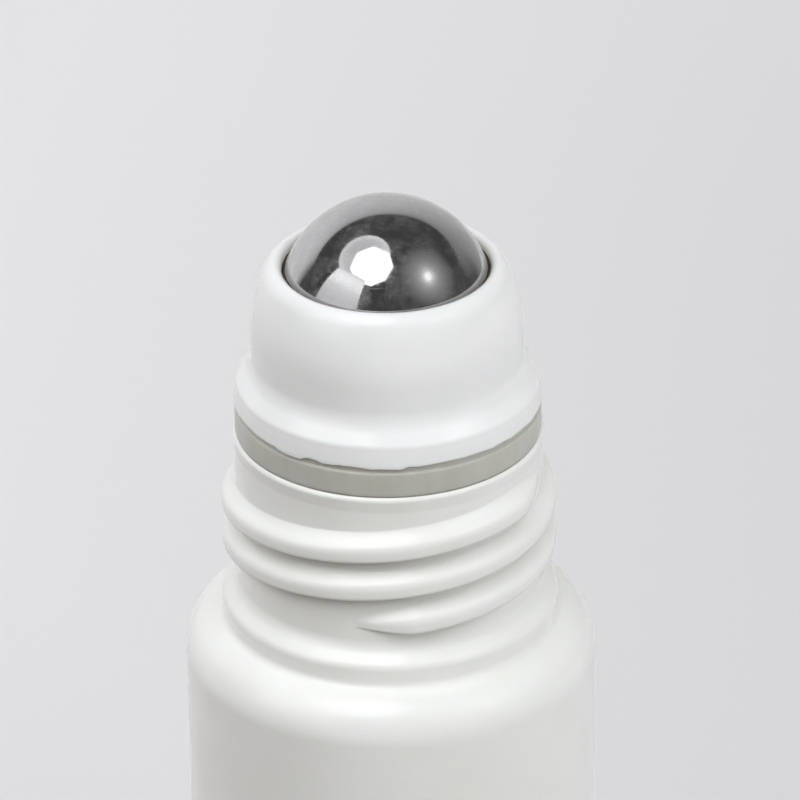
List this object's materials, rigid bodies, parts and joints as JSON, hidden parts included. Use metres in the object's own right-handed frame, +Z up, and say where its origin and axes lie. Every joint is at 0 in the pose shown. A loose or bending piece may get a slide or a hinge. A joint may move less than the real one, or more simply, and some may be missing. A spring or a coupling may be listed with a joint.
{
  "type": "roll on bottle",
  "caption": "Small round plastic roll-on bottle with a threaded neck, a press-in seat plug, a snap-fit ball housing and a steel roller ball, shown without its cap.",
  "frame": {"origin": "centre of the foot, on the surface that the bottle stands on", "axes": "+Z up along the bottle's axis through the ball, -Y towards the front of the picture, +X to the right"},
  "size_m": [0.02, 0.02, 0.0742],
  "materials": {
    "bottle_plastic": "white moulded plastic, glossy",
    "plug_plastic": "natural translucent plastic, satin",
    "housing_plastic": "white moulded plastic, glossy",
    "ball_steel": "ground and polished stainless steel"
  },
  "bodies": {
    "bottle": {"bottle": "bottle_plastic"},
    "fitment": {"seat_plug": "plug_plastic", "ball_housing": "housing_plastic"},
    "ball": {"roller_ball": "ball_steel"}
  },
  "joints": [
    {"name": "fitment_pull", "type": "slide", "parent": "bottle", "child": "fitment", "axis": [0, 0, 1], "range_m": [0, 0.012]},
    {"name": "ball_spin", "type": "hinge", "parent": "fitment", "child": "ball", "pos_m": [0, 0, 0.06909], "axis": [1, 0, 0], "continuous": true}
  ]
}
